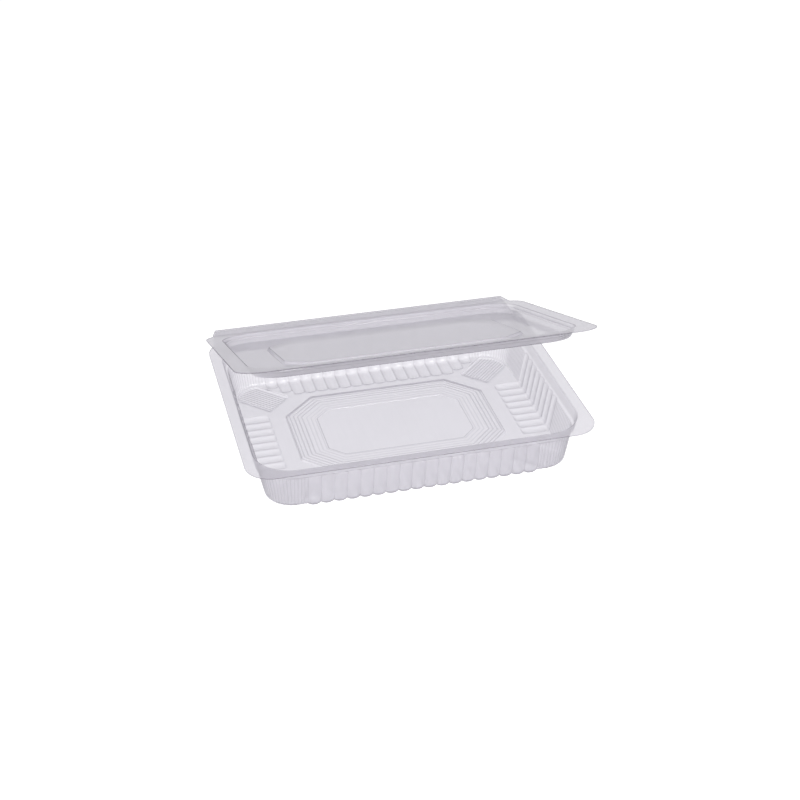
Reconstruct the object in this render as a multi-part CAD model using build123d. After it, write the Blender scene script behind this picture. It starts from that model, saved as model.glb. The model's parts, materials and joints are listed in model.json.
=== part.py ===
from build123d import *
import os
from math import asin, atan2, cos, degrees, radians, sin, sqrt, tan

# Clear clamshell pack for food: a fluted tray and a plug lid on a living hinge.
# The real pack is one thermoformed sheet. It is two solids here, parted at the
# crest of the hinge, and the lid is modelled part open.
# Millimetres. X runs along the hinge, Y towards the hinge and Z up. The origin
# is the middle of the open pack's footprint, on the surface it stands on.

# The sheet
sheet = 0.5
overrun = 2.0

# The tray's flange and the opening inside it
tray_length = 190.0
tray_depth = 147.5
tray_height = 27.6
tray_corner = 14.0
side_flange = 6.5
front_flange = 5.2
opening_corner = 20.0

# The tray's wall: a plain band, a sloping ledge under it, and the fluted part
wall_draft = 9.5
band_height = 5.5
ledge_depth = 1.5
floor_bend = 1.2
bend_steps = 2

# Flutes, which run down the wall, round the bend and in under the floor as feet
flute_pitch = 7.0
flute_depth = 1.1
flute_lift = 0.15
flute_flats = 5
flute_root = 1.5
front_row_margin = 4.0
side_row_margin = 19.0
finger_length = 12.9
end_fingers = (3.4, 9.4)
finger_rise = 2.6
finger_slope = 40.0

# Ribbed pads that fill the floor's corners and reach down to the feet's level
pad_ribs = 10
pad_rib_pitch = 1.8
pad_reach = 13.8
pad_depth = 0.7
pad_tuck = 0.45

# Raised octagon on the floor, with rings of fine ridges round a plain panel
plate_margin_x = 23.9
plate_margin_y = 21.6
plate_cut = 18.0
plate_rise = 1.2
ridge_pitch = 2.2
ridge_height = 0.45
ridge_top = 0.4
outer_ridges = 4
inner_ridges = 3
ridge_gap = 2.6
panel_inset = 17.2
panel_drop = 0.4

# The lid's flange, which closes down on the tray's
lid_overhang = 1.0
lid_gap = 0.5
lid_corner = 15.0

# The lid's plug, which closes into the tray's opening
plug_clearance = 0.7
plug_depth = 5.2
plug_draft = 26.0
plug_bend = 1.2

# Raised octagonal panel in the lid
badge_margin_x = 18.3
badge_margin_y = 22.8
badge_cut = 14.0
badge_rise = 1.6

# The living hinge: a strip from each flange up to a crest, which is the axis
crest_reach = 9.3
crest_rise = 2.4
hinge_half_length = 88.0
hinge_foot_half_length = 90.5
hinge_gap = 0.3
crest_gap = 0.2
open_angle = 21.0

# What follows from them
flute_radius = ((flute_pitch / 2) ** 2 + flute_depth**2) / (2 * flute_depth)
flute_half_angle = asin(flute_pitch / 2 / flute_radius)
flute_step = 2 * flute_half_angle / flute_flats
foot_rise = flute_lift + flute_depth - flute_radius * (1 - cos(flute_step / 2))
half_length = tray_length / 2
half_depth = tray_depth / 2
opening = (half_length - side_flange, half_depth - front_flange, opening_corner)
band_bottom = tray_height - band_height
core_top = band_bottom - ledge_depth
crest_y = half_depth + crest_reach
crest_z = tray_height + crest_rise
lid_bottom = tray_height + lid_gap
lid_top = lid_bottom + sheet
lid_half_length = half_length + lid_overhang
lid_half_depth = half_depth + lid_overhang


def inward(depth):
    """How far the drafted wall comes in over a depth."""
    return depth * tan(radians(wall_draft))


def inset(sizes, distance):
    """The half sizes and corner radius of a rounded rectangle, moved in by a distance."""
    return tuple(size - distance for size in sizes)


def outline(sizes, z):
    half_x, half_y, radius = sizes
    return Pos(0, 0, z) * RectangleRounded(2 * half_x, 2 * half_y, radius)


def tapered_stack(sizes, profile):
    """Drafted blocks one under another, following a profile of (inset, z) points."""
    solid = None
    for (near, high), (far, low) in zip(profile, profile[1:]):
        taper = degrees(atan2(far - near, high - low))
        face = outline(inset(sizes, near), high)
        block = extrude(face, amount=high - low, dir=(0, 0, -1), taper=taper)
        solid = block if solid is None else solid + block
    return solid


def octagon(sizes, distance, z):
    """A rectangle with its corners cut at 45 degrees, moved in by a distance."""
    half_x, half_y, full_cut = sizes
    x = half_x - distance
    y = half_y - distance
    cut = full_cut - distance * (2 - sqrt(2))
    corners = [
        (x, y - cut), (x - cut, y), (cut - x, y), (-x, y - cut),
        (-x, cut - y), (cut - x, -y), (x - cut, -y), (x, cut - y),
    ]
    return Pos(0, 0, z) * make_face(Polyline(*corners, close=True))


# The tray's well. Each form is closed, and is made twice: as the inside of the
# sheet, and with the sheet as its skin to make the outside.

def floor_level(skin):
    return foot_rise + sheet - skin


def floor_bend_points(skin):
    """Where the wall turns into the floor, as (inset from the opening, z) points."""
    radius = floor_bend + skin
    floor = floor_level(skin)
    wall_angle = radians(wall_draft)
    corner = ledge_depth - skin + inward(tray_height - floor)
    centre = corner + radius * (1 - sin(wall_angle)) / cos(wall_angle)
    turns = [wall_draft + i * (90 - wall_draft) / bend_steps for i in range(bend_steps + 1)]
    return [
        (centre - radius * cos(radians(turn)), floor + radius - radius * sin(radians(turn)))
        for turn in turns
    ]


def well(skin):
    """The plain band, the ledge, the core that the flutes stand on and its floor."""
    band_end = inward(band_height) - skin
    ledge_end = inward(tray_height - core_top) + ledge_depth - skin
    top = [(-skin, tray_height), (band_end, band_bottom), (ledge_end, core_top)]
    return tapered_stack(opening, top + floor_bend_points(skin))


def row_section(count, skin):
    """Shallow rounded flutes side by side, each in flats, on a root that sinks into the wall."""
    half_pitch = flute_pitch / 2
    inner = sheet - skin
    centre = flute_lift + flute_depth - flute_radius + inner
    radius = flute_radius - inner / cos(flute_step / 2)
    angles = [(i + 1) * flute_step - flute_half_angle for i in range(flute_flats - 1)]
    crest = [(radius * sin(angle), centre + radius * cos(angle)) for angle in angles]
    cusp_slope = tan(flute_half_angle - flute_step / 2)
    cusp = crest[0][1] - (crest[0][0] + half_pitch) * cusp_slope
    end = count * half_pitch
    points = [(-end, -flute_root), (-end, cusp)]
    for i in range(count):
        middle = (i + 0.5) * flute_pitch - end
        points += [(middle + x, height) for x, height in crest]
        points.append((middle + half_pitch, cusp))
    points.append((end, -flute_root))
    return make_face(Polyline(*points, close=True))


def flute_row(count, half_opening, finger, skin):
    """Flutes side by side in the wall that faces -Y, half_opening from the middle."""
    bend = floor_bend_points(skin)
    start = bend[0][0] - inward(band_bottom - bend[0][1])
    tip = bend[-1][0] + finger
    rise = finger_rise + skin
    end = tip + rise / tan(radians(finger_slope))
    floor = floor_level(skin)
    profile = [(start, band_bottom), *bend, (tip, floor), (end, floor + rise)]
    path = Polyline(*[(0, distance - half_opening, z) for distance, z in profile])
    section_plane = Plane(origin=path @ 0, x_dir=(1, 0, 0), z_dir=path % 0)
    return sweep(section_plane * row_section(count, skin), path=path, transition=Transition.RIGHT)


def row_count(half_opening, margin):
    return int(2 * (half_opening - opening_corner - margin) / flute_pitch)


def flutes(skin):
    """Rows on all four sides. The end flutes of the long rows leave room for the pads."""
    half_x, half_y, corner = opening
    front_count = row_count(half_x, front_row_margin)
    rows = [flute_row(front_count - 2 * len(end_fingers), half_y, finger_length, skin)]
    for step, finger in enumerate(end_fingers):
        middle = (front_count / 2 - step - 0.5) * flute_pitch
        single = flute_row(1, half_y, finger, skin)
        rows += [Pos(middle, 0, 0) * single, Pos(-middle, 0, 0) * single]
    side = flute_row(row_count(half_y, side_row_margin), half_x, finger_length, skin)
    behind = [Rot(0, 0, 180) * row for row in rows]
    return rows + behind + [Rot(0, 0, 90) * side, Rot(0, 0, -90) * side]


def pad_room(skin):
    """The floor's outline, going down to the feet's level with sides at 45 degrees."""
    floor = floor_level(skin)
    edge = floor_bend_points(skin)[-1][0] - pad_tuck - skin
    profile = [(edge, floor + overrun), (edge, floor), (edge + foot_rise, floor - foot_rise)]
    return tapered_stack(opening, profile)


def pads(skin):
    """Fine ribs side by side in each corner, sunk under the floor and pointing at the middle."""
    half_x, half_y, corner = opening
    floor = floor_level(skin)
    root = floor - foot_rise + pad_depth
    half_width = pad_ribs * pad_rib_pitch / 2
    side = half_width + floor - root
    points = [(side, floor + overrun), (-side, floor + overrun), (-side, floor)]
    for i in range(pad_ribs):
        left = i * pad_rib_pitch - half_width
        points += [(left, root), (left + pad_rib_pitch / 2, root - pad_depth)]
    points += [(half_width, root), (side, floor)]
    section = Plane.XZ.offset(-corner) * make_face(Polyline(*points, close=True))
    ribs = extrude(section, amount=corner + pad_reach + skin)
    placed = Pos(half_x - corner, half_y - corner, 0) * Rot(0, 0, -45) * ribs
    first = placed & pad_room(skin)
    beside = mirror(first, Plane.YZ)
    return [first, beside, mirror(first, Plane.XZ), mirror(beside, Plane.XZ)]


def ridge_ring(sizes, distance, z):
    """A ridge with sides at 45 degrees and a flat top, all round an octagon."""
    half_width = ridge_top / 2 + ridge_height
    around = octagon(sizes, distance - half_width, z)
    within = octagon(sizes, distance + half_width, z)
    return extrude(around, amount=ridge_height, taper=45) - extrude(
        within, amount=ridge_height, taper=-45
    )


def floor_plate(z):
    """The raised octagon with its rings of ridges, standing on a floor at z."""
    half_x, half_y, corner = inset(opening, ledge_depth + inward(tray_height - foot_rise))
    sizes = (half_x - plate_margin_x, half_y - plate_margin_y, plate_cut)
    top = z + plate_rise
    plate = extrude(octagon(sizes, 0, z), amount=plate_rise, taper=45)
    plate += extrude(octagon(sizes, 0, z - overrun), amount=overrun)
    outer = [plate_rise + ridge_pitch * (i + 0.5) for i in range(outer_ridges)]
    inner = [outer[-1] + ridge_gap + ridge_pitch * i for i in range(inner_ridges)]
    for distance in outer + inner:
        plate += ridge_ring(sizes, distance, top)
    panel = octagon(sizes, panel_inset + panel_drop, top - panel_drop)
    return plate - extrude(panel, amount=panel_drop, taper=-45)


def tray_form(skin):
    form = well(skin)
    for piece in flutes(skin) + pads(skin):
        form += piece
    return form - floor_plate(floor_level(skin))


# The flanges and the two halves of the hinge

def hinge_strip(foot, crest, side):
    """A flat strip between two (y, z) points, on one side of the line between them."""
    along = (Vector(0, *crest) - Vector(0, *foot)).normalized()
    across = Vector(0, -along.Z, along.Y) * side * sheet
    start = Vector(0, *foot) - along * sheet
    end = Vector(0, *crest) - along * crest_gap
    section = make_face(Polyline(start, end, end + across, start + across, close=True))
    slab = extrude(section, amount=hinge_foot_half_length, dir=(1, 0, 0), both=True)
    plan = make_face(Polyline(
        (-hinge_foot_half_length, foot[0] - overrun), (hinge_foot_half_length, foot[0] - overrun),
        (hinge_foot_half_length, foot[0]), (hinge_half_length, crest[0] + overrun),
        (-hinge_half_length, crest[0] + overrun), (-hinge_foot_half_length, foot[0]), close=True,
    ))
    return slab & extrude(Pos(0, 0, foot[1] - overrun) * plan, amount=crest_rise + 2 * overrun)


def hinge_root(back_y, corner, z):
    """Fills a flange's back corners out to the ends of the hinge."""
    root = Box(2 * hinge_foot_half_length, corner, sheet)
    return Pos(0, back_y - corner / 2, z + sheet / 2) * root


def make_tray():
    bottom = tray_height - sheet
    flange = extrude(outline((half_length, half_depth, tray_corner), bottom), amount=sheet)
    flange += hinge_root(half_depth, tray_corner, bottom)
    flange += hinge_strip((half_depth, tray_height), (crest_y, crest_z - hinge_gap / 2), -1)
    return flange + tray_form(sheet) - tray_form(0)


# The lid, made closed on the tray and then turned about the crest

def plug(skin):
    """The lid's recess, or with a skin the outside of the sheet round it."""
    slope = tan(radians(plug_draft))
    floor = lid_top - plug_depth - skin
    bend_top = floor + plug_bend
    wall_in = (lid_top - bend_top) * slope
    profile = [(0, lid_top), (wall_in, bend_top), (wall_in + plug_bend, floor)]
    return tapered_stack(inset(opening, plug_clearance + sheet - skin), profile)


def badge(z):
    """The raised octagonal panel, standing on a floor at z."""
    bottom_inset = plug_clearance + plug_depth * tan(radians(plug_draft))
    half_x, half_y, corner = inset(opening, bottom_inset)
    sizes = (half_x - badge_margin_x, half_y - badge_margin_y, badge_cut)
    raised = extrude(octagon(sizes, 0, z), amount=badge_rise, taper=45)
    return raised + extrude(octagon(sizes, 0, z - overrun), amount=overrun)


def lid_form(skin):
    return plug(skin) - badge(lid_top - plug_depth - skin)


def make_lid():
    flange = extrude(outline((lid_half_length, lid_half_depth, lid_corner), lid_bottom), amount=sheet)
    flange += hinge_root(lid_half_depth, lid_corner, lid_bottom)
    flange += hinge_strip((lid_half_depth, lid_bottom), (crest_y, crest_z + hinge_gap / 2), 1)
    closed = flange + lid_form(sheet) - lid_form(0)
    return closed.rotate(Axis((0, crest_y, crest_z), (1, 0, 0)), -open_angle)


tray = make_tray()
lid = make_lid()
footprint_middle = (tray.bounding_box().max.Y - half_depth) / 2

os.makedirs("parts", exist_ok=True)
for name, piece in (("tray", tray), ("lid", lid)):
    placed = Pos(0, -footprint_middle, 0) * piece
    print(name, len(placed.solids()), "solid", placed.bounding_box())
    export_step(placed, f"parts/{name}.step")
print("hinge axis y", crest_y - footprint_middle, "z", crest_z)
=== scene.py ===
import json
from math import cos, hypot, pi, radians, sin, sqrt, tan

import bpy
import bmesh
from mathutils import Matrix, Vector
from mathutils.geometry import delaunay_2d_cdt


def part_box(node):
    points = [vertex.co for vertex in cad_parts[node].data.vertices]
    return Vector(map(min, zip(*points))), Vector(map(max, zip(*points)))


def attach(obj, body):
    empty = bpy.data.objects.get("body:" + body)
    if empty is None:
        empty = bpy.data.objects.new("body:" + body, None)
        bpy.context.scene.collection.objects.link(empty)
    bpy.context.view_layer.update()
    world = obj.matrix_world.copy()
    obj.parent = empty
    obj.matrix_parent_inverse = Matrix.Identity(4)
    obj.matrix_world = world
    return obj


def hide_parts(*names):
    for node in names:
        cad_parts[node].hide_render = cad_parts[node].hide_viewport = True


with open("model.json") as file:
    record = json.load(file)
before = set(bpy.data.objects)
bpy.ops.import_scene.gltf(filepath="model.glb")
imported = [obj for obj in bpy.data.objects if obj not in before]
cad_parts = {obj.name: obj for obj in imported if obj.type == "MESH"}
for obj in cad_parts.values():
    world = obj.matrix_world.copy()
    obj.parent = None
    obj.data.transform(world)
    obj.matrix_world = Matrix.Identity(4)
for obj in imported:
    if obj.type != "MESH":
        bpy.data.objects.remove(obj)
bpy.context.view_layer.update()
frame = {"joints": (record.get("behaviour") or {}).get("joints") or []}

# The dressed pack: the tray and the lid as thin shells of clear sheet.
# Lengths are in millimetres until a mesh is made.

MM = 0.001
UP = Vector((0, 0, 1))

# The frame: the tray's box and the hinge
tray_low, tray_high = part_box("tray")
hinge = frame["joints"][0]
crest_y = hinge["pos_m"][1] / MM
crest_z = hinge["pos_m"][2] / MM
open_angle = -radians(hinge["range_deg"][0])

# The sheet and the tray's outline, as the solids have them
sheet = 0.5
half_length = tray_high[0] / MM
crest_reach = 9.3
crest_rise = 2.4
tray_height = crest_z - crest_rise
back_edge = crest_y - crest_reach
front_edge = tray_low[1] / MM
half_depth = (back_edge - front_edge) / 2
tray_middle = (back_edge + front_edge) / 2
tray_corner = 14.0
side_flange = 6.5
front_flange = 5.2
opening_corner = 20.0
opening_x = half_length - side_flange
opening_y = half_depth - front_flange

# The wall and its turn into the floor
wall_draft = radians(9.5)
band_height = 5.5
ledge_depth = 1.5
floor_bend = 1.2
rim_radius = 0.9
flute_softness = 0.35
band_bottom = tray_height - band_height
core_top = band_bottom - ledge_depth

# Flutes and the feet they end in
flute_pitch = 7.0
flute_depth = 1.1
flute_lift = 0.15
side_flute_share = 0.66
flute_radius = ((flute_pitch / 2) ** 2 + flute_depth**2) / (2 * flute_depth)
foot_rise = 1.2
front_row_margin = 4.0
side_row_margin = 19.0
finger_length = 12.9
end_fingers = (3.4, 9.4)
finger_slope = radians(40.0)
finger_margin = 0.8

# Fine upright ribs round the wall's corners, up to the flutes
corner_ribs = 14
rib_pitch = 1.8
rib_height = 0.22

# Ribbed corner pads
pad_ribs = 10
pad_rib_pitch = 1.8
pad_reach = 13.8
pad_depth = 0.45
pad_sunk = foot_rise - pad_depth
pad_edge = 0.15
pad_side_share = 0.72
pad_end = ((0.0, 0.0), (0.25, 0.3), (0.6, 0.8), (0.9, 0.97), (1.3, 1.0))
pad_outer_stretch = 1.1
pad_outer_start = 1.6

# The raised octagon and its ridges
plate_margin_x = 23.9
plate_margin_y = 21.6
plate_cut = 18.0
plate_rise = 1.2
ridge_pitch = 2.2
ridge_half_width = 0.65
ridge_height = 0.22
inner_ridge_height = 0.07
plate_slope = 0.75
outer_ridges = 4
inner_ridges = 3
ridge_gap = 2.6
panel_inset = 17.2
panel_drop = 0.22
octagon_round = 1.6

# The lid, in its closed place
lid_overhang = 1.0
lid_gap = 0.5
lid_corner = 15.0
plug_clearance = 0.7
plug_depth = 5.2
plug_draft = radians(26.0)
plug_bend = 1.6
bead_drop = 2.3
bead_half_width = 0.7
bead_height = 0.35
badge_margin_x = 18.3
badge_margin_y = 22.8
badge_cut = 14.0
badge_rise = 1.6
badge_round = 2.5
lid_top = tray_height + lid_gap + sheet
lid_half_length = half_length + lid_overhang
lid_half_depth = half_depth + lid_overhang

# The hinge strips
hinge_half_length = 88.0
hinge_foot_half_length = 90.5
hinge_gap = 0.3
crest_gap = 0.35

# The sheet's look
clear_share = 0.465
clear_color = (0.95, 0.94, 0.96)
thinnest_view = 0.2
path_power = -0.8
haze_color = (0.62, 0.605, 0.65)
far_side_share = 0.36
dim_color = (0.64, 0.62, 0.67)
dim_share = 0.28
streak_scale = (420, 30, 30)
streak_share = 0.10
streak_least = 0.95
# Painted shade along bends: its dark see-through grey, and how it grows where the sheet is seen
# edge on
bend_shade_color = (0.22, 0.205, 0.245)
bend_shade_share = 0.42
edge_on_share = 1.8
edge_on_power = 3.0
darkest_share = 0.75
gloss_roughness = 0.06
gloss_least = 0.06
gloss_share = 0.30
gloss_power = 5.0
wave_scale = 90.0
wave_strength = 0.35
wave_depth = 0.0006
sheet_shadow = (0.97, 0.97, 0.975)

# The cut edge's look: painted shade that draws it as a thin dark line
edge_dim_shade_color = (0.55, 0.53, 0.57)
edge_matte_shade_color = (0.34, 0.33, 0.36)
edge_grain = 0.4
edge_matte_least = 0.2
edge_shadow = (0.9, 0.9, 0.91)

# The light
room_light = 0.68
floor_lift = 0.42
floor_color = (0.84, 0.84, 0.85)
floor_half = 2.5
floor_drop = 0.0002
light_target = (0, 0, 0.02)
sheets_crossed = 32

# How finely curves are drawn
steps_per_rib = 5
corner_steps = corner_ribs * steps_per_rib
flute_share = (0.0, 0.05, 0.12, 0.22, 0.36, 0.5, 0.64, 0.78, 0.88, 0.95)
strip_shares = [-1.0, -0.996, *[i / 12 for i in range(-11, 12)], 0.996, 1.0]
rim_steps = 4
ledge_steps = 8
above_ledge = (0.6, 0.2)
below_ledge = 0.8
above_bend = 1.0
bend_steps = 6
steps_per_pad_rib = 4
pad_middle_rows = 4
steps_per_ridge = 6
bead_steps = 8
plug_bend_steps = 5
same_point = 1e-4

# How strongly a bend shows as a darker line of painted shade, and the painted shade on steep
# walls, the cut edge, the front toes and the lid's front wall
gentle_bend = 0.05
middle_bend = 1.7
hollow_share = 0.3
least_apart = 0.2
steep_wall_shade = 0.15
cut_edge_shade = 0.6
edge_band = 0.4
# Painted shade on the toes of the feet that face the front, row by row down the bend
painted_toe_shade = 1.1
toe_shade_shares = (0.3, 0.8, 1.0, 1.0, 0.5, 0.1, 0.0)
# Painted shade on the lid plug's front wall
painted_front_wall_shade = 0.75


class Shell:
    """One surface of a sheet, gathered as faces on shared points, then given its thickness."""

    def __init__(self):
        self.points = []
        self.marks = []
        self.faces = []

    def add_points(self, points, marks=None):
        start = len(self.points)
        self.points += [tuple(point) for point in points]
        count = len(self.points) - start
        self.marks += marks or [0.0] * count
        return list(range(start, start + count))

    def add_grid(self, rows, closed=False, marks=None):
        """Quads between rows of points. Each row has as many points as the next.

        marks gives, for each point of each row, the least painted shade that it counts with, on
        the same scale as a bend.
        """
        marks = marks or [None] * len(rows)
        numbered = [self.add_points(row, mark) for row, mark in zip(rows, marks)]
        for near, far in zip(numbered, numbered[1:]):
            count = len(near)
            for i in range(count if closed else count - 1):
                j = (i + 1) % count
                self.faces.append((near[i], near[j], far[j], far[i]))

    def add_flat(self, outer, holes, z):
        """Fills a level region between an outer loop and its holes."""
        flat = [(x, y) for loop in (outer, *holes) for x, y in loop]
        loops = []
        start = 0
        for loop in (outer, *holes):
            loops.append(list(range(start, start + len(loop))))
            start += len(loop)
        edges = [(a, b) for loop in loops for a, b in zip(loop, loop[1:] + loop[:1])]
        points, _, triangles, *_ = delaunay_2d_cdt(
            [Vector(point) for point in flat], edges, [], 0, same_point
        )
        kept = []
        for triangle in triangles:
            x = sum(points[i][0] for i in triangle) / len(triangle)
            y = sum(points[i][1] for i in triangle) / len(triangle)
            if inside(outer, x, y) and not any(inside(hole, x, y) for hole in holes):
                kept.append(triangle)
        numbers = self.add_points((x, y, z) for x, y in points)
        self.faces += [tuple(numbers[i] for i in triangle) for triangle in kept]

    def mesh(self, name, place):
        """A closed shell one sheet thick, below this surface, as a mesh object in metres."""
        mesh = bpy.data.meshes.new(name)
        mesh.from_pydata([place @ Vector(point) for point in self.points], [], self.faces)
        mesh.attributes.new("mark", "FLOAT", "POINT").data.foreach_set("value", self.marks)
        work = bmesh.new()
        work.from_mesh(mesh)
        bmesh.ops.remove_doubles(work, verts=work.verts, dist=same_point)
        bmesh.ops.dissolve_degenerate(work, edges=work.edges, dist=same_point)
        bmesh.ops.recalc_face_normals(work, faces=work.faces)
        work.normal_update()
        largest = max(work.faces, key=lambda face: face.calc_area())
        if largest.normal.dot(UP) < 0:
            bmesh.ops.reverse_faces(work, faces=work.faces)
        for face in work.faces:
            face.smooth = len(face.verts) > 3
        mark_bends(work, place.to_3x3() @ UP)
        bmesh.ops.scale(work, vec=(MM, MM, MM), verts=work.verts)
        work.to_mesh(mesh)
        work.free()
        piece = bpy.data.objects.new(name, mesh)
        bpy.context.scene.collection.objects.link(piece)
        thick = piece.modifiers.new("sheet", "SOLIDIFY")
        thick.thickness = sheet * MM
        thick.offset = -1
        thick.use_even_offset = False
        thick.use_rim = True
        thick.material_offset_rim = 1
        shade = piece.modifiers.new("normals", "WEIGHTED_NORMAL")
        shade.mode = "FACE_AREA"
        shade.keep_sharp = True
        return piece


def mark_bends(work, upright):
    """Keeps at each face's corners how tightly the sheet bends there, from 0 towards 1, as the
    strength of the painted shade that darkens it there.

    A crest counts fully and a hollow in part, and a steep wall counts a little. The cut edge
    and the points' own marks of painted shade count too, and the triangles of level fills
    stay at 0.
    """
    layer = work.loops.layers.float.new("bend")
    mark = work.verts.layers.float["mark"]
    bends = {}
    for point in work.verts:
        tightest = 0.0
        for edge in point.link_edges:
            if len(edge.link_faces) == 2:
                one, other = edge.link_faces
                apart = (one.calc_center_median() - other.calc_center_median()).length
                turn = edge.calc_face_angle() / max(apart, least_apart)
                tightest = max(tightest, turn if edge.is_convex else turn * hollow_share)
        bend = max(tightest - gentle_bend, 0.0) / (tightest + middle_bend)
        # Painted shade: steep walls a little darker, cut edges darker still
        steep = 1 - abs(point.normal.dot(upright))
        bends[point] = max(bend, steep_wall_shade * steep, point[mark])
        if point.is_boundary:
            bends[point] = cut_edge_shade
    for face in work.faces:
        for corner in face.loops:
            corner[layer] = bends[corner.vert] if len(face.verts) > 3 else 0.0


def inside(loop, x, y):
    """True if a point is inside a closed loop of points."""
    found = False
    for (ax, ay), (bx, by) in zip(loop, loop[1:] + loop[:1]):
        if (ay > y) != (by > y) and x < ax + (y - ay) / (by - ay) * (bx - ax):
            found = not found
    return found


# Outlines

def rounded_outline(half_x, half_y, radius, along, along_side):
    """Stations round a rounded rectangle: (base point, outward normal, side, place on it).

    along and along_side give the places of the stations on the two straights, from -1 to 1.
    On a corner the side is None, and the place runs from 0 to 1.
    """
    stations = []
    straights = (along, along_side, along, along_side)
    for side, places in enumerate(straights):
        turn = side * pi / 2
        normal = (sin(turn), -cos(turn))
        forward = (cos(turn), sin(turn))
        reach = (half_y, half_x)[side % 2]
        run = (half_x, half_y)[side % 2] - radius
        for place in places:
            base = tuple(normal[k] * reach + forward[k] * run * place for k in (0, 1))
            stations.append((base, normal, side, place))
        centre = tuple(normal[k] * (reach - radius) + forward[k] * run for k in (0, 1))
        for i in range(1, corner_steps):
            angle = turn + (pi / 2) * i / corner_steps
            outward = (sin(angle), -cos(angle))
            base = tuple(centre[k] + radius * outward[k] for k in (0, 1))
            stations.append((base, outward, None, i / corner_steps))
    return stations


def octagon_loop(half_x, half_y, full_cut, distance, rounding):
    """The points of an octagon moved in by a distance, with its corners a little rounded."""
    x = half_x - distance
    y = half_y - distance
    cut = full_cut - distance * (2 - sqrt(2))
    corners = [
        (x, cut - y), (x, y - cut), (x - cut, y), (cut - x, y),
        (-x, y - cut), (-x, cut - y), (cut - x, -y), (x - cut, -y),
    ]
    steps = 4
    loop = []
    for i, corner in enumerate(corners):
        here = Vector(corner)
        before = (Vector(corners[i - 1]) - here).normalized()
        after = (Vector(corners[(i + 1) % 8]) - here).normalized()
        reach = rounding * tan(pi / 8)
        for k in range(steps + 1):
            t = k / steps
            point = here + before * reach * (1 - t) ** 2 + after * reach * t**2
            loop.append((point.x, point.y))
    return loop


# The tray

def row_count(half_opening, margin):
    return int(2 * (half_opening - opening_corner - margin) / flute_pitch)


def margin_ribs(half_opening, margin):
    """(the length of plain wall at each end of a row of flutes, the ribs that fill it)."""
    count = row_count(half_opening, margin)
    plain = half_opening - opening_corner - count * flute_pitch / 2
    return plain, round(plain / rib_pitch)


def row_places(half_opening, margin):
    """Places along one straight: finely over its ribs and flutes. From -1 to 1."""
    run = half_opening - opening_corner
    count = row_count(half_opening, margin)
    plain, ribs = margin_ribs(half_opening, margin)
    steps = ribs * steps_per_rib
    ends = [plain * i / steps - run for i in range(steps)]
    places = list(ends)
    for i in range(count):
        places += [(i + share - count / 2) * flute_pitch for share in flute_share]
    places += [count * flute_pitch / 2, *[-place for place in reversed(ends)]]
    return [place / run for place in places]


def rib_at(share, ribs):
    return rib_height * abs(sin(pi * ribs * share))


def flute_at(side, place):
    """(how far a flute or rib stands out, its finger's length) at a place on an outline."""
    if side is None:
        return rib_at(place, corner_ribs), None
    long_side = side % 2 == 0
    half_opening = opening_x if long_side else opening_y
    margin = front_row_margin if long_side else side_row_margin
    count = row_count(half_opening, margin)
    run = half_opening - opening_corner
    distance = place * run + count * flute_pitch / 2
    beyond = max(-distance, distance - count * flute_pitch)
    if beyond > -same_point:
        plain, ribs = margin_ribs(half_opening, margin)
        return rib_at(max(beyond, 0.0) / plain, ribs), None
    index = min(int(distance / flute_pitch + same_point), count - 1)
    across = distance - (index + 0.5) * flute_pitch
    radius = flute_radius - sheet
    centre = flute_lift + flute_depth - radius
    height = centre + sqrt(radius**2 - min(abs(across), flute_pitch / 2) ** 2)
    from_end = min(index, count - 1 - index)
    finger = finger_length
    if long_side and from_end < len(end_fingers):
        finger = end_fingers[from_end]
    if not long_side:
        height *= side_flute_share
    return min(max(height, flute_lift), foot_rise), finger


floor_top = foot_rise + sheet
bend_start_in = ledge_depth + (tray_height - floor_top) * tan(wall_draft)
bend_centre_in = bend_start_in + floor_bend * (1 - sin(wall_draft)) / cos(wall_draft)
bend_centre_z = floor_top + floor_bend


def core_inset(z):
    return ledge_depth + (tray_height - z) * tan(wall_draft)


def blend_least(a, b, softness):
    """The lesser of two values, with the change from one to the other rounded."""
    gap = max(softness - abs(a - b), 0.0) / softness
    return min(a, b) - gap * gap * softness / 4


def wall_rows(stations):
    """Rows of points down the tray's inside, from the rim to where the floor is level.

    The flutes turn round the foot at their full height, and the fine ribs fade out there.
    """
    rows = []

    def add(insets_and_heights):
        rows.append([
            (base[0] - normal[0] * inward, base[1] - normal[1] * inward, z)
            for (base, normal, _, _), (inward, z) in zip(stations, insets_and_heights)
        ])

    reach = [flute_at(side, place) for _, _, side, place in stations]
    flutes = [height for height, _ in reach]
    for i in range(rim_steps + 1):
        angle = i / rim_steps * (pi / 2 - wall_draft)
        inward = -rim_radius + rim_radius * sin(angle)
        z = tray_height - rim_radius * (1 - cos(angle))
        add([(inward, z)] * len(stations))
    heights = [band_bottom + up for up in above_ledge]
    heights += [band_bottom - ledge_depth * i / ledge_steps for i in range(1, ledge_steps + 3)]
    lowest = bend_centre_z - floor_bend * sin(wall_draft)
    heights += [core_top - below_ledge, (core_top + lowest) / 2, lowest + above_bend]
    for z in heights:
        band = max(tray_height - z, 0) * tan(wall_draft)
        ledge = band + max(band_bottom - z, 0)
        core = core_inset(z)
        add([(blend_least(ledge, core - height, flute_softness), z) for height in flutes])
    for i in range(bend_steps + 1):
        angle = wall_draft + (pi / 2 - wall_draft) * i / bend_steps
        kept = [1.0 if finger else 1 - i / bend_steps for _, finger in reach]
        radii = [floor_bend + height * share for height, share in zip(flutes, kept)]
        add([(bend_centre_in - r * cos(angle), bend_centre_z - r * sin(angle)) for r in radii])
    return rows


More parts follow.
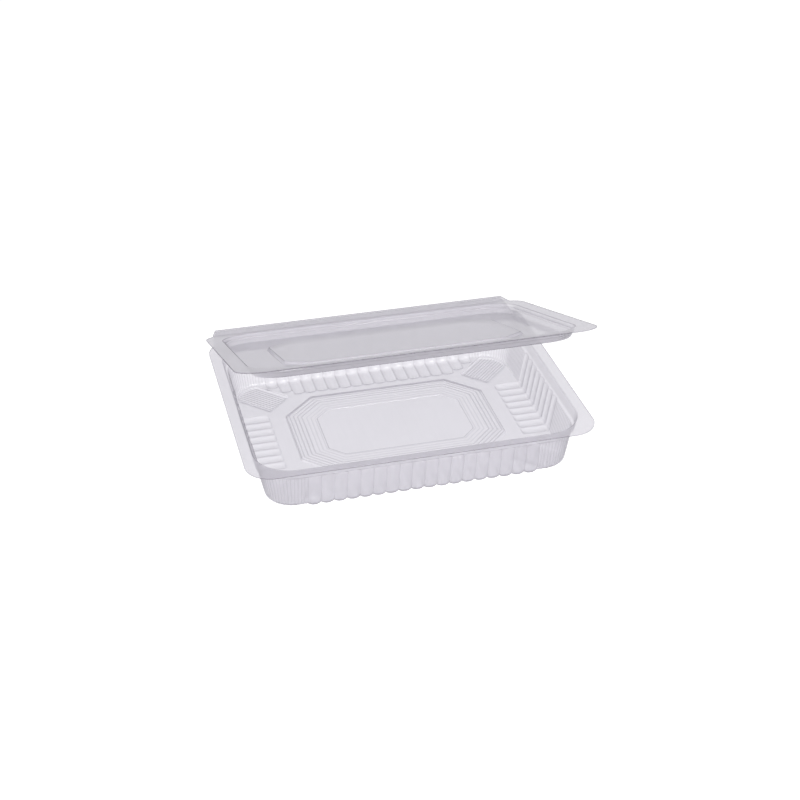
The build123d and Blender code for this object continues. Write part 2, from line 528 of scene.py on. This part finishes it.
def finger_rows(stations):
    """The flutes' fingers on the floor, from the bend to where they have risen into it."""
    reach = [flute_at(side, place) for _, _, side, place in stations]
    spans = []
    for i, (height, finger) in enumerate(reach):
        near = [reach[k][1] for k in (i - 1, i + 1) if 0 <= k < len(reach) and reach[k][1]]
        span = min([length for length in (finger, *near) if length] or [0.0])
        spans.append(span)
    rise = (flute_depth + flute_lift) / tan(finger_slope) + finger_margin
    shares = (0.0, 0.25, 0.5, 0.7, 0.8, 0.87, 0.93, 0.97, 1.0)
    rows = []
    for share in shares:
        row = []
        for (base, normal, _, _), (height, finger), span in zip(stations, reach, spans):
            along = (span + rise) * share
            past = max(along - span, 0.0)
            drop = max(height - past * tan(finger_slope), 0.0) if share < 1 else 0.0
            inward = bend_centre_in + along
            x, y = (base[k] - normal[k] * inward for k in (0, 1))
            row.append((x, y, floor_top - drop))
        rows.append(row)
    return rows


def pad_grid(sign_x, sign_y):
    """Rows of points over one corner pad: rounded ribs that point at the middle.

    Distances run along the ribs from the centre of the corner's arc, outwards.
    """
    arc_x = opening_x - opening_corner
    arc_y = opening_y - opening_corner
    arc_radius = opening_corner - bend_centre_in - pad_edge
    half_width = pad_ribs * pad_rib_pitch / 2
    step = pad_rib_pitch / steps_per_pad_rib
    across = [i * step - half_width for i in range(pad_ribs * steps_per_pad_rib + 1)]
    side = min(half_width + pad_sunk, arc_radius * pad_side_share)
    across = [-side, *across, side]
    end_rows = len(pad_end)
    row_total = 2 * end_rows + pad_middle_rows
    rows = []
    for part in range(row_total):
        row = []
        for i, offset in enumerate(across):
            far = sqrt(arc_radius**2 - offset**2)
            if part < end_rows:
                inward, depth = pad_end[part]
                along = -pad_reach + inward
            elif part < end_rows + pad_middle_rows:
                share = (part - end_rows + 1) / (pad_middle_rows + 1)
                near = pad_end[-1][0] - pad_reach
                along, depth = (far - pad_outer_start) * share + near * (1 - share), 1.0
            else:
                inward, depth = pad_end[row_total - 1 - part]
                along = far - inward * pad_outer_stretch
            wave = abs(sin(pi * (offset + half_width) / pad_rib_pitch))
            drop = depth * (pad_sunk + pad_depth * wave)
            if i in (0, len(across) - 1):
                drop = 0.0
            x = arc_x + (along - offset) / sqrt(2)
            y = arc_y + (along + offset) / sqrt(2)
            row.append((sign_x * x, sign_y * y, floor_top - drop))
        rows.append(row)
    return rows


def border(rows):
    """The outer loop of a grid of points, seen from above."""
    loop = rows[0][:-1] + [row[-1] for row in rows[:-1]]
    loop += list(reversed(rows[-1]))[:-1] + [row[0] for row in reversed(rows)][:-1]
    return [(x, y) for x, y, _ in loop]


plate_sizes = (
    opening_x - ledge_depth - (tray_height - foot_rise) * tan(wall_draft) - plate_margin_x,
    opening_y - ledge_depth - (tray_height - foot_rise) * tan(wall_draft) - plate_margin_y,
    plate_cut,
)


def bevel(rise):
    """(inset, height) up a slope of 45 degrees with tight bends at its foot and its top."""
    turn = ((0.0, 0.0), (0.2, 0.04), (0.42, 0.2))
    return [*turn, *[(rise - across, rise - up) for across, up in reversed(turn)]]


def plate_profile():
    """(inset, height) down the raised octagon, from its foot to its sunken panel."""
    profile = [(0.0, 0.0), (0.2, 0.06), (0.5, 0.5), (0.8, 0.94), (1.0, 1.0)]
    profile = [(across * plate_slope, up * plate_rise) for across, up in profile]
    outer = [plate_rise + ridge_pitch * (i + 0.5) for i in range(outer_ridges)]
    inner = [outer[-1] + ridge_gap + ridge_pitch * i for i in range(inner_ridges)]
    heights = [ridge_height] * outer_ridges + [inner_ridge_height] * inner_ridges
    for centre, full in zip(outer + inner, heights):
        for i in range(steps_per_ridge + 1):
            place = 2 * i / steps_per_ridge - 1
            height = plate_rise + full * (1 + cos(pi * place)) / 2
            profile.append((centre + place * ridge_half_width, height))
    profile.append((panel_inset, plate_rise))
    profile.append((panel_inset + panel_drop / 2, plate_rise - panel_drop / 2))
    profile.append((panel_inset + panel_drop, plate_rise - panel_drop))
    return profile


def add_plate(shell, sizes, profile, floor, rounding):
    rows = []
    for distance, height in profile:
        loop = octagon_loop(*sizes, distance, rounding)
        rows.append([(x, y, floor + height) for x, y in loop])
    shell.add_grid(rows, closed=True)
    shell.add_flat([(x, y) for x, y, _ in rows[-1]], [], rows[-1][0][2])
    return [(x, y) for x, y, _ in rows[0]]


def side_slice(stations, side):
    """The stations of one side's flutes, with the plain one at each end of the row."""
    fluted = [
        i for i, (_, _, s, place) in enumerate(stations) if s == side and flute_at(s, place)[1]
    ]
    return fluted[0] - 1, fluted[-1] + 2


def floor_loop_and_fingers(shell, stations, ring):
    """Adds the four finger grids and gives the loop of the level floor left inside them."""
    loop = []
    place = 0
    for side in range(4):
        first, last = side_slice(stations, side)
        grid = finger_rows(stations[first:last])
        shell.add_grid(grid)
        loop += ring[place:first]
        loop += [(row[0][0], row[0][1]) for row in grid[:-1]]
        loop += [(x, y) for x, y, _ in grid[-1]]
        loop += [(row[-1][0], row[-1][1]) for row in reversed(grid[:-1])]
        place = last
    return loop + ring[place:]


def flange_outline(half_x, half_y, corner):
    """A flange's edge from above, with the square shoulders that the hinge folds from."""
    stations = rounded_outline(half_x, half_y, corner, (-1.0, 1.0), (-1.0, 1.0))
    front_part = [
        (x, y) for (x, y), *_ in stations if not (y > 0 and abs(x) < hinge_foot_half_length)
    ]
    turn = [i for i, (x, y) in enumerate(front_part) if y > 0 and x > 0][-1] + 1
    across = hinge_foot_half_length - half_x + corner
    arc_y = half_y - corner + sqrt(corner**2 - across**2)
    fold = [(hinge_foot_half_length * share, half_y) for share in reversed(strip_shares)]
    shoulder = [(hinge_foot_half_length, arc_y), *fold, (-hinge_foot_half_length, arc_y)]
    return front_part[:turn] + shoulder + front_part[turn:]


def add_flange(shell, outline, hole, z):
    """A level flange round a hole, with a narrow band along its outline."""
    reach_x = max(x for x, _ in outline)
    reach_y = max(y for _, y in outline)
    band = [(x * (1 - edge_band / reach_x), y * (1 - edge_band / reach_y)) for x, y in outline]
    shell.add_grid([[(x, y, z) for x, y in loop] for loop in (outline, band)], closed=True)
    shell.add_flat(band, [hole], z)


def strip_rows(foot, crest):
    """Rows of a hinge strip from the flange's back edge to the crest."""
    run = hypot(crest[0] - foot[0], crest[1] - foot[1])
    rows = []
    ends = (1.0 - (crest_gap + edge_band) / run, 1.0 - crest_gap / run)
    for share in (0.0, 0.06, 0.14, 0.5, 0.9, *ends):
        y = foot[0] + (crest[0] - foot[0]) * share
        z = foot[1] + (crest[1] - foot[1]) * share
        half = hinge_foot_half_length
        half += (hinge_half_length - hinge_foot_half_length) * share
        rows.append([(half * place, y, z) for place in strip_shares])
    return rows


def make_tray():
    shell = Shell()
    along = row_places(opening_x, front_row_margin)
    beside = row_places(opening_y, side_row_margin)
    stations = rounded_outline(opening_x, opening_y, opening_corner, along, beside)
    rows = wall_rows(stations)
    # Painted shade: the toes of the feet are darkened, the more so the more their side faces the
    # front
    front_shade_weights = [((1 - normal[1]) / 2) ** 2 for _, normal, _, _ in stations]
    marks = [[painted_toe_shade * share * front for front in front_shade_weights] for share in toe_shade_shares]
    marks = [None] * (len(rows) - len(marks)) + marks
    shell.add_grid(rows, closed=True, marks=marks)
    edge = flange_outline(half_length, half_depth, tray_corner)
    add_flange(shell, edge, [(x, y) for x, y, _ in rows[0]], tray_height)
    crest = (half_depth + crest_reach, crest_z - hinge_gap / 2)
    shell.add_grid(strip_rows((half_depth, tray_height), crest))
    ring = [(x, y) for x, y, _ in rows[-1]]
    loop = floor_loop_and_fingers(shell, stations, ring)
    pads = [pad_grid(x, y) for x in (1, -1) for y in (1, -1)]
    for grid in pads:
        shell.add_grid(grid)
    plate = add_plate(shell, plate_sizes, plate_profile(), floor_top, octagon_round)
    shell.add_flat(loop, [plate, *[border(grid) for grid in pads]], floor_top)
    return shell.mesh("tray_sheet", Matrix.Translation((0, tray_middle, 0)))


# The lid

def make_lid():
    shell = Shell()
    straights = (-1.0, 1.0)
    inner = plug_clearance + sheet
    stations = rounded_outline(
        opening_x - inner, opening_y - inner, opening_corner - inner, straights, straights
    )
    floor = lid_top - plug_depth
    profile = []
    for i in range(rim_steps + 1):
        angle = i / rim_steps * (pi / 2 - plug_draft)
        profile.append((rim_radius * (sin(angle) - 1), lid_top - rim_radius * (1 - cos(angle))))
    slope = tan(plug_draft)
    for i in range(bead_steps + 1):
        share = 2 * i / bead_steps - 1
        inward = (bead_drop + share * bead_half_width) * slope
        inward -= bead_height * (1 + cos(pi * share)) / 2
        profile.append((inward, lid_top - bead_drop - share * bead_half_width))
    bend_drop = plug_depth - plug_bend * (1 - sin(plug_draft))
    centre_in = bend_drop * slope + plug_bend * cos(plug_draft)
    for i in range(plug_bend_steps + 1):
        angle = plug_draft + (pi / 2 - plug_draft) * i / plug_bend_steps
        profile.append((centre_in - plug_bend * cos(angle), floor + plug_bend * (1 - sin(angle))))
    rows = [
        [(base[0] - normal[0] * d, base[1] - normal[1] * d, z) for base, normal, _, _ in stations]
        for d, z in profile
    ]
    # Painted shade: the plug's front wall is darkened, the more so the more it faces the front
    front_shade_weights = [max(-normal[1], 0.0) ** 2 for _, normal, _, _ in stations]
    marks = [[painted_front_wall_shade * share for share in front_shade_weights]] * len(rows)
    shell.add_grid(rows, closed=True, marks=marks)
    bottom = inner + plug_depth * slope
    sizes = (
        opening_x - bottom - badge_margin_x, opening_y - bottom - badge_margin_y, badge_cut
    )
    badge = add_plate(shell, sizes, bevel(badge_rise), floor, badge_round)
    shell.add_flat([(x, y) for x, y, _ in rows[-1]], [badge], floor)

    edge = flange_outline(lid_half_length, lid_half_depth, lid_corner)
    add_flange(shell, edge, [(x, y) for x, y, _ in rows[0]], lid_top)
    crest = (half_depth + crest_reach, crest_z + hinge_gap / 2 + sheet)
    shell.add_grid(strip_rows((lid_half_depth, lid_top), crest))
    closed_to_open = (
        Matrix.Translation((0, crest_y, crest_z))
        @ Matrix.Rotation(-open_angle, 4, "X")
        @ Matrix.Translation((0, -crest_y, -crest_z))
        @ Matrix.Translation((0, tray_middle, 0))
    )
    return shell.mesh("lid_sheet", closed_to_open)


# Materials

def new_material(name):
    material = bpy.data.materials.new(name)
    material.use_nodes = True
    nodes = material.node_tree.nodes
    nodes.clear()
    output = nodes.new("ShaderNodeOutputMaterial")
    return material, nodes, material.node_tree.links, output


def math_node(nodes, links, operation, *values):
    """A Math node. Each value is a number or the socket that gives it."""
    node = nodes.new("ShaderNodeMath")
    node.operation = operation
    for place, value in zip(node.inputs, values):
        if isinstance(value, (int, float)):
            place.default_value = value
        else:
            links.new(value, place)
    return node.outputs[0]


def mix_shaders(nodes, links, share, first, second):
    node = nodes.new("ShaderNodeMixShader")
    if isinstance(share, (int, float)):
        node.inputs[0].default_value = share
    else:
        links.new(share, node.inputs[0])
    links.new(first, node.inputs[1])
    links.new(second, node.inputs[2])
    return node.outputs[0]


def shader(nodes, kind, color):
    node = nodes.new(kind)
    node.inputs["Color"].default_value = (*color, 1)
    return node


def streaks(nodes, links):
    """Faint streaks along the sheet, as it is rolled: a noise stretched from front to back."""
    place = nodes.new("ShaderNodeTexCoord")
    stretch = nodes.new("ShaderNodeMapping")
    stretch.inputs["Scale"].default_value = streak_scale
    links.new(place.outputs["Object"], stretch.inputs["Vector"])
    noise = nodes.new("ShaderNodeTexNoise")
    noise.inputs["Scale"].default_value = 1.0
    noise.inputs["Detail"].default_value = 3.0
    links.new(stretch.outputs["Vector"], noise.inputs["Vector"])
    return noise.outputs["Fac"]


def waves(nodes, links):
    """Slight waves that thin sheet has wherever it is flat, for its gloss."""
    place = nodes.new("ShaderNodeTexCoord")
    noise = nodes.new("ShaderNodeTexNoise")
    noise.inputs["Scale"].default_value = wave_scale
    noise.inputs["Detail"].default_value = 2.0
    links.new(place.outputs["Object"], noise.inputs["Vector"])
    bump = nodes.new("ShaderNodeBump")
    bump.inputs["Strength"].default_value = wave_strength
    bump.inputs["Distance"].default_value = wave_depth
    links.new(noise.outputs["Fac"], bump.inputs["Height"])
    return bump.outputs["Normal"]


def pass_light(nodes, links, surface, color):
    """Lamp light goes through such thin sheet almost unhindered, so its shadow is faint."""
    rays = nodes.new("ShaderNodeLightPath").outputs
    lighting = math_node(nodes, links, "MAXIMUM", rays["Is Shadow Ray"], rays["Is Diffuse Ray"])
    lamp_side = shader(nodes, "ShaderNodeBsdfTransparent", color)
    return mix_shaders(nodes, links, lighting, surface, lamp_side.outputs[0])


def clear_sheet():
    """Clear plastic sheet: see-through, with a grey haze that deepens where it is seen edge on.

    Tight bends send the light elsewhere, and that shade is painted on as darker lines from the
    bend marks. The look comes from the face where a ray enters the sheet, and the face where
    it leaves adds nothing.
    """
    material, nodes, links, output = new_material("clear_sheet")
    facing = nodes.new("ShaderNodeLayerWeight")
    facing.inputs["Blend"].default_value = 0.5
    away = facing.outputs["Facing"]
    square_on = math_node(nodes, links, "SUBTRACT", 1.0, away)
    least = math_node(nodes, links, "MAXIMUM", square_on, thinnest_view)
    path = math_node(nodes, links, "POWER", least, path_power)
    streaky = math_node(
        nodes, links, "MULTIPLY_ADD", streaks(nodes, links), streak_share, streak_least
    )
    depth = math_node(nodes, links, "MULTIPLY", path, streaky)
    through = math_node(nodes, links, "POWER", clear_share, depth)

    clear = shader(nodes, "ShaderNodeBsdfTransparent", clear_color)
    near_side = shader(nodes, "ShaderNodeBsdfDiffuse", haze_color)
    far_side = shader(nodes, "ShaderNodeBsdfTranslucent", haze_color)
    milky = mix_shaders(nodes, links, far_side_share, near_side.outputs[0], far_side.outputs[0])
    dimmed = shader(nodes, "ShaderNodeBsdfTransparent", dim_color)
    haze = mix_shaders(nodes, links, dim_share, milky, dimmed.outputs[0])
    body = mix_shaders(nodes, links, through, haze, clear.outputs[0])

    # Painted shade: darker lines from the stored bend marks, at tight bends, steep walls, the cut
    # edge, the front toes and the lid's front wall
    bend = nodes.new("ShaderNodeAttribute")
    bend.attribute_name = "bend"
    dark = shader(nodes, "ShaderNodeBsdfTransparent", bend_shade_color)
    edge_on = math_node(nodes, links, "POWER", away, edge_on_power)
    strength = math_node(nodes, links, "MULTIPLY_ADD", edge_on, edge_on_share, bend_shade_share)
    bent = math_node(nodes, links, "MULTIPLY", bend.outputs["Fac"], strength)
    bent = math_node(nodes, links, "MINIMUM", bent, darkest_share)
    lined = mix_shaders(nodes, links, bent, body, dark.outputs[0])

    # Gloss grows towards grazing angles
    gloss = nodes.new("ShaderNodeBsdfGlossy")
    gloss.inputs["Roughness"].default_value = gloss_roughness
    links.new(waves(nodes, links), gloss.inputs["Normal"])
    grazing = math_node(nodes, links, "POWER", away, gloss_power)
    shiny = math_node(nodes, links, "MULTIPLY_ADD", grazing, gloss_share, gloss_least)
    shine = mix_shaders(nodes, links, shiny, lined, gloss.outputs[0])
    side_seen = nodes.new("ShaderNodeNewGeometry")
    exit_face = shader(nodes, "ShaderNodeBsdfTransparent", (1, 1, 1))
    leaving = side_seen.outputs["Backfacing"]
    crossed = mix_shaders(nodes, links, leaving, shine, exit_face.outputs[0])
    lit = pass_light(nodes, links, crossed, sheet_shadow)
    links.new(lit, output.inputs["Surface"])
    return material


def cut_edge():
    """The sheet's cut edge, painted darker as a thin line of painted shade."""
    material, nodes, links, output = new_material("cut_edge")
    # Painted shade: a dim see-through grey and a dark matte grey, mixed by the streak noise, draw
    # the cut edge as a dark line
    dim = shader(nodes, "ShaderNodeBsdfTransparent", edge_dim_shade_color)
    matte = shader(nodes, "ShaderNodeBsdfDiffuse", edge_matte_shade_color)
    grain = math_node(
        nodes, links, "MULTIPLY_ADD", streaks(nodes, links), edge_grain, edge_matte_least
    )
    edge = mix_shaders(nodes, links, grain, dim.outputs[0], matte.outputs[0])
    lit = pass_light(nodes, links, edge, edge_shadow)
    links.new(lit, output.inputs["Surface"])
    return material


def background_rays(nodes, links):
    """1 for the rays that show the background: straight, reflected or refracted."""
    rays = nodes.new("ShaderNodeLightPath").outputs
    either = math_node(nodes, links, "MAXIMUM", rays["Is Camera Ray"], rays["Is Glossy Ray"])
    return math_node(nodes, links, "MAXIMUM", either, rays["Is Transmission Ray"])


def floor_material():
    """A pale matte floor. What the camera sees of it is brought up to white, shadow and all."""
    material, nodes, links, output = new_material("pale_floor")
    matte = shader(nodes, "ShaderNodeBsdfDiffuse", floor_color)
    lift = shader(nodes, "ShaderNodeEmission", (1, 1, 1))
    strength = math_node(nodes, links, "MULTIPLY", background_rays(nodes, links), floor_lift)
    links.new(strength, lift.inputs["Strength"])
    both = nodes.new("ShaderNodeAddShader")
    links.new(matte.outputs[0], both.inputs[0])
    links.new(lift.outputs[0], both.inputs[1])
    links.new(both.outputs[0], output.inputs["Surface"])
    return material


# The setting

def make_floor():
    mesh = bpy.data.meshes.new("floor")
    signs = ((-1, -1), (1, -1), (1, 1), (-1, 1))
    corners = [(x * floor_half, y * floor_half, 0) for x, y in signs]
    mesh.from_pydata(corners, [], [(0, 1, 2, 3)])
    floor = bpy.data.objects.new("floor", mesh)
    floor.location.z = -floor_drop
    bpy.context.scene.collection.objects.link(floor)
    floor.data.materials.append(floor_material())


def add_area_light(name, place, size, power):
    light = bpy.data.lights.new(name, "AREA")
    light.shape = "RECTANGLE"
    light.size, light.size_y = size
    light.energy = power
    lamp = bpy.data.objects.new(name, light)
    lamp.location = place
    aim = Vector(light_target) - Vector(place)
    lamp.rotation_euler = aim.to_track_quat("-Z", "Y").to_euler()
    bpy.context.scene.collection.objects.link(lamp)


def make_world():
    world = bpy.data.worlds.new("studio")
    world.use_nodes = True
    bpy.context.scene.world = world
    nodes = world.node_tree.nodes
    links = world.node_tree.links
    light = nodes["Background"]
    light.inputs["Color"].default_value = (1, 1, 1, 1)
    light.inputs["Strength"].default_value = room_light
    seen = shader(nodes, "ShaderNodeBackground", (1, 1, 1))
    share = background_rays(nodes, links)
    both = mix_shaders(nodes, links, share, light.outputs[0], seen.outputs[0])
    links.new(both, nodes["World Output"].inputs["Surface"])


def make_camera():
    """The photograph's view, from a fit of the tray's and the lid's edges."""
    azimuth = radians(14.572)
    elevation = radians(31.37)
    distance = 843.7
    target = Vector((-1.0, -15.7 + tray_middle, tray_height))
    lens = 69.1
    level = cos(elevation)
    forward = Vector((sin(azimuth) * level, cos(azimuth) * level, -sin(elevation)))
    camera = bpy.data.cameras.new("camera")
    camera.lens = lens
    camera.sensor_width = 36.0
    eye = bpy.data.objects.new("camera", camera)
    eye.location = (target - forward * distance) * MM
    eye.rotation_euler = forward.to_track_quat("-Z", "Y").to_euler()
    bpy.context.scene.collection.objects.link(eye)
    bpy.context.scene.camera = eye


bpy.context.scene.view_settings.view_transform = "Standard"
bpy.context.scene.cycles.transparent_max_bounces = sheets_crossed
make_camera()
make_world()
make_floor()
add_area_light("front", place=(-0.25, -1.6, 0.62), size=(0.9, 0.5), power=18)
add_area_light("glint", place=(0.258, -0.624, 0.99), size=(0.2, 0.2), power=1.8)

plastic = clear_sheet()
edge_plastic = cut_edge()
for make, node in ((make_tray, "tray"), (make_lid, "lid")):
    piece = make()
    piece.data.materials.append(plastic)
    piece.data.materials.append(edge_plastic)
    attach(piece, node)
    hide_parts(node)
